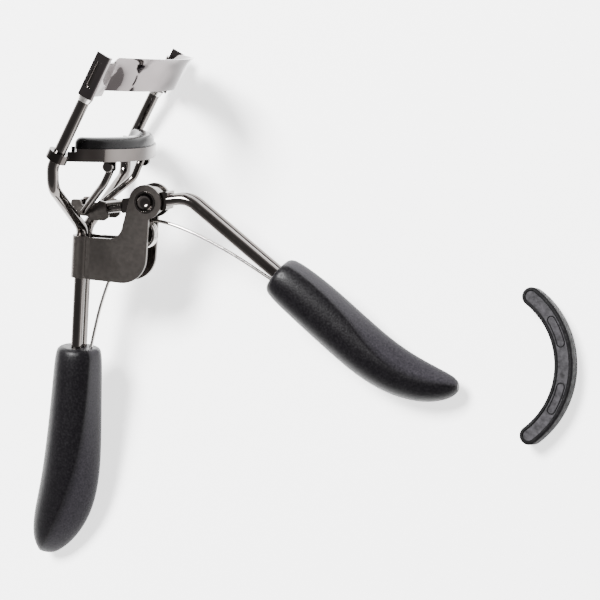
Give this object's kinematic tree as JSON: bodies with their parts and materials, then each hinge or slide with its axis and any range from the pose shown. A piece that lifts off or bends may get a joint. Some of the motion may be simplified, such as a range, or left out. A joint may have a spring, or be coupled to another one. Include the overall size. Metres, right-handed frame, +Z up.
{
  "type": "eyelash curler",
  "caption": "Eyelash curler: two rod handles with soft grips, a sprung lever that raises a padded lower jaw along rails to a curved upper plate; a spare pad lies beside it.",
  "frame": {"origin": "middle of the whole footprint, on the table", "axes": "+Z up from the table; the pivot axis points nearly down (-Z), the fixed handle runs along -Y, and the moving handle points along +X"},
  "size_m": [0.1098, 0.108, 0.0405],
  "materials": {
    "dark_plated_steel": "polished dark nickel plate",
    "satin_plated_sheet": "satin dark plate",
    "bright_plated_sheet": "mirror plate",
    "solder": "bright",
    "spring_steel": "drawn wire",
    "soft_grip": "fine grain, soft touch",
    "pad_rubber": "fine grain"
  },
  "bodies": {
    "frame": {"frame_wire_left": "dark_plated_steel", "frame_wire_right": "dark_plated_steel", "fulcrum_bracket": "satin_plated_sheet", "pivot_rivet": "dark_plated_steel", "upper_jaw": "bright_plated_sheet", "rail_solder_left": "solder", "rail_solder_right": "solder", "fixed_grip": "soft_grip", "torsion_spring": "spring_steel"},
    "lever": {"lever_wire_left": "dark_plated_steel", "lever_wire_right": "dark_plated_steel", "lever_collar": "dark_plated_steel", "moving_grip": "soft_grip", "yoke_pin": "dark_plated_steel"},
    "lower_jaw": {"lower_jaw": "bright_plated_sheet", "lash_pad": "pad_rubber"},
    "stem": {"stem_wire_left": "dark_plated_steel", "stem_wire_right": "dark_plated_steel", "yoke": "dark_plated_steel"},
    "spare_pad": {"spare_pad": "pad_rubber"}
  },
  "joints": [
    {"name": "lever_pivot", "type": "hinge", "parent": "frame", "child": "lever", "pos_m": [-0.03184, 0.02123, 0.01589], "axis": [-0.1033, 0.1975, -0.9748], "range_deg": [0, 59.5], "stiffness_Nm_per_rad": 0.12, "springref_deg": -51.57, "deforming": ["torsion_spring"]},
    {"name": "lower_jaw_slide", "type": "slide", "parent": "frame", "child": "lower_jaw", "axis": [0.4266, 0.8942, 0.1359], "range_m": [0, 0.00966]},
    {"name": "stem_swing", "type": "hinge", "parent": "lower_jaw", "child": "stem", "pos_m": [-0.03716, 0.0281, 0.01784], "axis": [-0.1033, 0.1975, -0.9748], "range_deg": [0, 9.57]},
    {"name": "spare_pad_lift", "type": "slide", "parent": "frame", "child": "spare_pad", "axis": [0, 0, 1], "range_m": [0, 0.03]}
  ],
  "couplings": [
    {"joint": "lower_jaw_slide", "follows": "lever_pivot", "m_per_rad": 0.00928},
    {"joint": "stem_swing", "follows": "lever_pivot", "ratio": 0.16}
  ]
}
